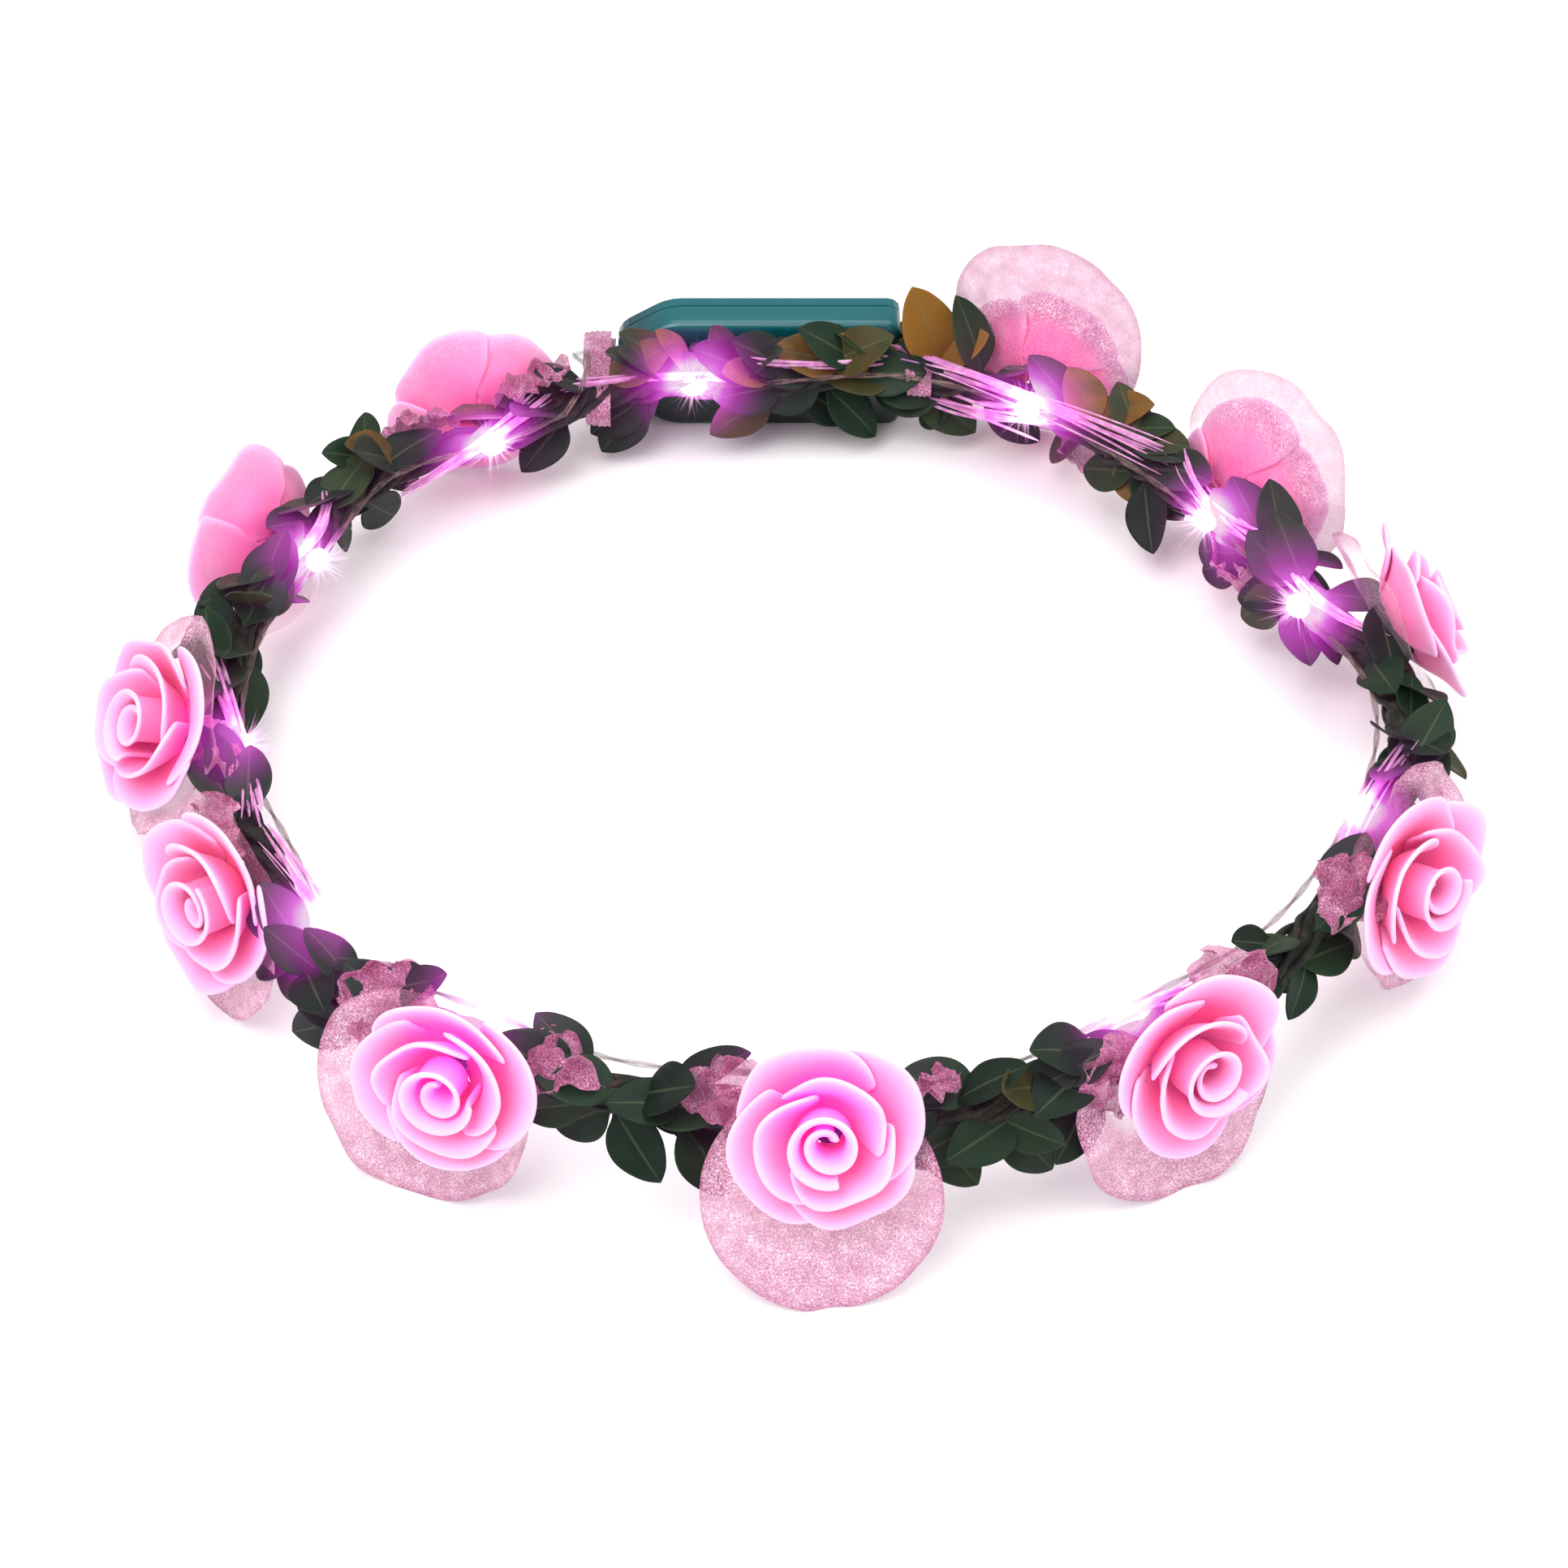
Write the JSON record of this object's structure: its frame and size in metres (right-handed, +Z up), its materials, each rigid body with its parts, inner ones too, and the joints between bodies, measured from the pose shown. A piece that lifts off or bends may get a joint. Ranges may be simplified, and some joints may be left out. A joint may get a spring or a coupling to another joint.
{
  "type": "flower crown",
  "caption": "Light-up hair garland: foam roses on organza discs and fabric leaves tied round a taped wire ring, with a string of LED beads and a coin-cell battery box.",
  "frame": {"origin": "centre of the head opening, at the middle height of the vine's centre line", "axes": "+Z up out of the head opening, -Y to the front rose, +Y to the battery box at the back, +X to the wearer's left"},
  "size_m": [0.2543, 0.2504, 0.0497],
  "materials": {
    "vine_tape": "dark green stretched floral tape, matt, slightly crinkled",
    "leaf_fabric": "stamped stiffened fabric, dark green to bronze, soft sheen",
    "rose_foam": "thin pink EVA foam sheet, soft satin",
    "disc_organza": "dusty pink organza with fine glitter, translucent",
    "clear_lead": "clear PVC insulation over fine copper strands",
    "led_epoxy": "clear moulded epoxy bead, lit pinkish white, emissive",
    "box_plastic": "teal moulded ABS, satin",
    "cell_steel": "nickel-plated steel",
    "contact_metal": "sprung brass strip",
    "board_laminate": "green glass-epoxy board with a moulded switch housing",
    "switch_plastic": "black moulded nylon",
    "ribbon_organza": "pale pink translucent ribbon"
  },
  "bodies": {
    "crown": {"case_back": "box_plastic", "case_front": "box_plastic", "circuit_board": "board_laminate", "coin_cell_1": "cell_steel", "coin_cell_2": "cell_steel", "contact_bridge": "contact_metal", "leaf_sprig_01": "leaf_fabric", "leaf_sprig_02": "leaf_fabric", "leaf_sprig_03": "leaf_fabric", "leaf_sprig_04": "leaf_fabric", "leaf_sprig_05": "leaf_fabric", "leaf_sprig_06": "leaf_fabric", "leaf_sprig_07": "leaf_fabric", "leaf_sprig_08": "leaf_fabric", "leaf_sprig_09": "leaf_fabric", "leaf_sprig_10": "leaf_fabric", "leaf_sprig_11": "leaf_fabric", "leaf_sprig_12": "leaf_fabric", "led_bead_01": "led_epoxy", "led_bead_02": "led_epoxy", "led_bead_03": "led_epoxy", "led_bead_04": "led_epoxy", "led_bead_05": "led_epoxy", "led_bead_06": "led_epoxy", "led_bead_07": "led_epoxy", "led_bead_08": "led_epoxy", "led_bead_09": "led_epoxy", "led_bead_10": "led_epoxy", "led_bead_11": "led_epoxy", "led_bead_12": "led_epoxy", "led_wire": "clear_lead", "organza_disc_01": "disc_organza", "organza_disc_02": "disc_organza", "organza_disc_03": "disc_organza", "organza_disc_04": "disc_organza", "organza_disc_05": "disc_organza", "organza_disc_06": "disc_organza", "organza_disc_07": "disc_organza", "organza_disc_08": "disc_organza", "organza_disc_09": "disc_organza", "organza_disc_10": "disc_organza", "organza_disc_11": "disc_organza", "ribbon_wrap_left": "ribbon_organza", "ribbon_wrap_right": "ribbon_organza", "rose_01": "rose_foam", "rose_02": "rose_foam", "rose_03": "rose_foam", "rose_04": "rose_foam", "rose_05": "rose_foam", "rose_06": "rose_foam", "rose_07": "rose_foam", "rose_08": "rose_foam", "rose_09": "rose_foam", "rose_10": "rose_foam", "rose_11": "rose_foam", "strain_relief": "box_plastic", "vine_ring": "vine_tape"},
    "switch": {"switch_slider": "switch_plastic"},
    "door": {"battery_door": "box_plastic"},
    "screw": {"door_screw": "cell_steel"}
  },
  "joints": [
    {"name": "switch_slide", "type": "slide", "parent": "crown", "child": "switch", "axis": [0, 0, 1], "range_m": [0, 0.0025]},
    {"name": "door_lift", "type": "slide", "parent": "crown", "child": "door", "axis": [0, 1, 0], "range_m": [0, 0.015]},
    {"name": "screw_turn", "type": "hinge", "parent": "door", "child": "screw", "pos_m": [-0.0244, 0.118, -0.00925], "axis": [0, 1, 0], "continuous": true}
  ]
}
